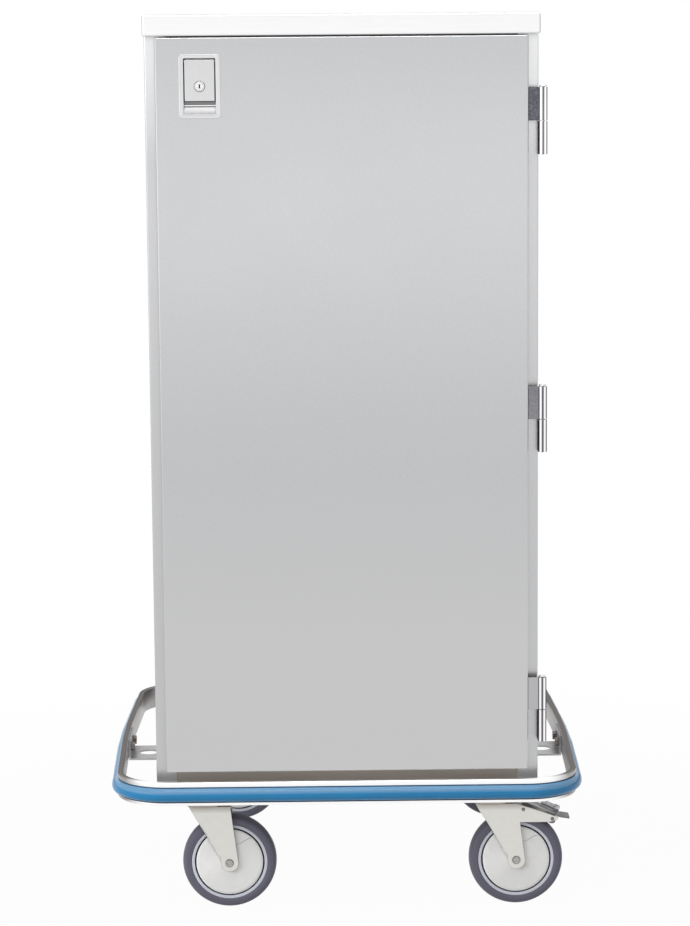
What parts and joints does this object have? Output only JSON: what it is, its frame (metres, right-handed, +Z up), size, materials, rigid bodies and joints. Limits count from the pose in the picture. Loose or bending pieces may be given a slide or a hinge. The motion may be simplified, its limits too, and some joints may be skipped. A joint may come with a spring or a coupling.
{
  "type": "case cart",
  "caption": "Closed stainless cabinet cart with a hinged door, paddle latch, inner shelves, a padded bumper rail round its base and swivel casters, some with pedal brakes.",
  "frame": {"origin": "on the floor under the middle of the bumper ring", "axes": "+Z up, -Y out of the door, +X towards the hinge side"},
  "size_m": [0.773, 0.76, 1.434],
  "materials": {
    "brushed_panel": "brushed stainless sheet",
    "brushed_door": "brushed stainless sheet, grain running up the door",
    "frame_steel": "plain mill-finished stainless",
    "rail_steel": "bright stainless channel",
    "hinge_steel": "satin stainless",
    "latch_steel": "satin stainless pressing",
    "lock_chrome": "plated brass",
    "fastener_steel": "plain stainless",
    "caster_zinc": "bright plated pressed steel",
    "bumper_vinyl": "blue extruded vinyl",
    "seal_rubber": "black sponge seal",
    "guard_plastic": "pale moulded disc",
    "core_plastic": "pale grey moulded core",
    "grey_tyre": "dark grey non-marking tread"
  },
  "bodies": {
    "cabinet": {"back_panel": "brushed_panel", "base_channel_front": "frame_steel", "base_channel_rear": "frame_steel", "bumper_bolts": "fastener_steel", "bumper_bracket_left": "rail_steel", "bumper_bracket_right": "rail_steel", "bumper_channel": "rail_steel", "bumper_insert": "bumper_vinyl", "caster_bolts": "fastener_steel", "caster_plate_front_left": "caster_zinc", "caster_plate_front_right": "caster_zinc", "caster_plate_rear_left": "caster_zinc", "caster_plate_rear_right": "caster_zinc", "floor_pan": "brushed_panel", "front_header": "brushed_panel", "hinge_frame_leaves": "hinge_steel", "hinge_pins": "hinge_steel", "shelf_clips": "frame_steel", "shelf_lower": "brushed_panel", "shelf_pilasters": "frame_steel", "shelf_upper": "brushed_panel", "side_panel_left": "brushed_panel", "side_panel_right": "brushed_panel", "top_cap": "brushed_panel"},
    "door": {"door_outer_pan": "brushed_door", "door_liner": "brushed_panel", "door_gasket": "seal_rubber", "hinge_door_leaves": "hinge_steel", "latch_bezel": "latch_steel", "latch_case": "frame_steel", "paddle_pin": "fastener_steel"},
    "paddle": {"latch_paddle": "latch_steel", "lock_cylinder": "lock_chrome"},
    "lock": {"lock_plug": "lock_chrome"},
    "bolt": {"latch_bolt": "latch_steel"},
    "fork_front_left": {"caster_fork_front_left": "caster_zinc", "caster_axle_front_left": "fastener_steel", "thread_guards_front_left": "guard_plastic"},
    "wheel_front_left": {"wheel_core_front_left": "core_plastic", "wheel_tyre_front_left": "grey_tyre"},
    "fork_front_right": {"caster_fork_front_right": "caster_zinc", "caster_axle_front_right": "fastener_steel", "thread_guards_front_right": "guard_plastic"},
    "wheel_front_right": {"wheel_core_front_right": "core_plastic", "wheel_tyre_front_right": "grey_tyre"},
    "brake_front_right": {"brake_pedal_front_right": "caster_zinc", "brake_adjuster_front_right": "fastener_steel"},
    "fork_rear_left": {"caster_fork_rear_left": "caster_zinc", "caster_axle_rear_left": "fastener_steel", "thread_guards_rear_left": "guard_plastic"},
    "wheel_rear_left": {"wheel_core_rear_left": "core_plastic", "wheel_tyre_rear_left": "grey_tyre"},
    "brake_rear_left": {"brake_pedal_rear_left": "caster_zinc", "brake_adjuster_rear_left": "fastener_steel"},
    "fork_rear_right": {"caster_fork_rear_right": "caster_zinc", "caster_axle_rear_right": "fastener_steel", "thread_guards_rear_right": "guard_plastic"},
    "wheel_rear_right": {"wheel_core_rear_right": "core_plastic", "wheel_tyre_rear_right": "grey_tyre"}
  },
  "joints": [
    {"name": "door_swing", "type": "hinge", "parent": "cabinet", "child": "door", "pos_m": [0.3106, -0.345, 0.803], "axis": [0, 0, 1], "range_deg": [0, 255]},
    {"name": "paddle_pull", "type": "hinge", "parent": "door", "child": "paddle", "pos_m": [-0.219, -0.351, 1.363], "axis": [-1, 0, 0], "range_deg": [0, 30], "stiffness_Nm_per_rad": 0.4, "springref_deg": -5.73},
    {"name": "lock_turn", "type": "hinge", "parent": "paddle", "child": "lock", "pos_m": [-0.219, -0.352, 1.3246], "axis": [0, 1, 0], "range_deg": [0, 90]},
    {"name": "bolt_slide", "type": "slide", "parent": "door", "child": "bolt", "axis": [1, 0, 0], "range_m": [0, 0.012]},
    {"name": "swivel_front_left", "type": "hinge", "parent": "cabinet", "child": "fork_front_left", "pos_m": [-0.2325, -0.271, 0.1705], "axis": [0, 0, 1], "continuous": true},
    {"name": "roll_front_left", "type": "hinge", "parent": "fork_front_left", "child": "wheel_front_left", "pos_m": [-0.1915, -0.271, 0.0762], "axis": [0, 1, 0], "continuous": true},
    {"name": "swivel_front_right", "type": "hinge", "parent": "cabinet", "child": "fork_front_right", "pos_m": [0.2325, -0.271, 0.1705], "axis": [0, 0, 1], "continuous": true},
    {"name": "roll_front_right", "type": "hinge", "parent": "fork_front_right", "child": "wheel_front_right", "pos_m": [0.2735, -0.271, 0.0762], "axis": [0, 1, 0], "continuous": true},
    {"name": "brake_press_front_right", "type": "hinge", "parent": "fork_front_right", "child": "brake_front_right", "pos_m": [0.332, -0.271, 0.1442], "axis": [0, 1, 0], "range_deg": [0, 8]},
    {"name": "swivel_rear_left", "type": "hinge", "parent": "cabinet", "child": "fork_rear_left", "pos_m": [-0.2325, 0.271, 0.1705], "axis": [0, 0, 1], "continuous": true},
    {"name": "roll_rear_left", "type": "hinge", "parent": "fork_rear_left", "child": "wheel_rear_left", "pos_m": [-0.1915, 0.271, 0.0762], "axis": [0, 1, 0], "continuous": true},
    {"name": "brake_press_rear_left", "type": "hinge", "parent": "fork_rear_left", "child": "brake_rear_left", "pos_m": [-0.133, 0.271, 0.1442], "axis": [0, 1, 0], "range_deg": [0, 8]},
    {"name": "swivel_rear_right", "type": "hinge", "parent": "cabinet", "child": "fork_rear_right", "pos_m": [0.2325, 0.271, 0.1705], "axis": [0, 0, 1], "continuous": true},
    {"name": "roll_rear_right", "type": "hinge", "parent": "fork_rear_right", "child": "wheel_rear_right", "pos_m": [0.2735, 0.271, 0.0762], "axis": [0, 1, 0], "continuous": true}
  ],
  "couplings": [
    {"joint": "bolt_slide", "follows": "paddle_pull", "m_per_rad": 0.0229}
  ]
}
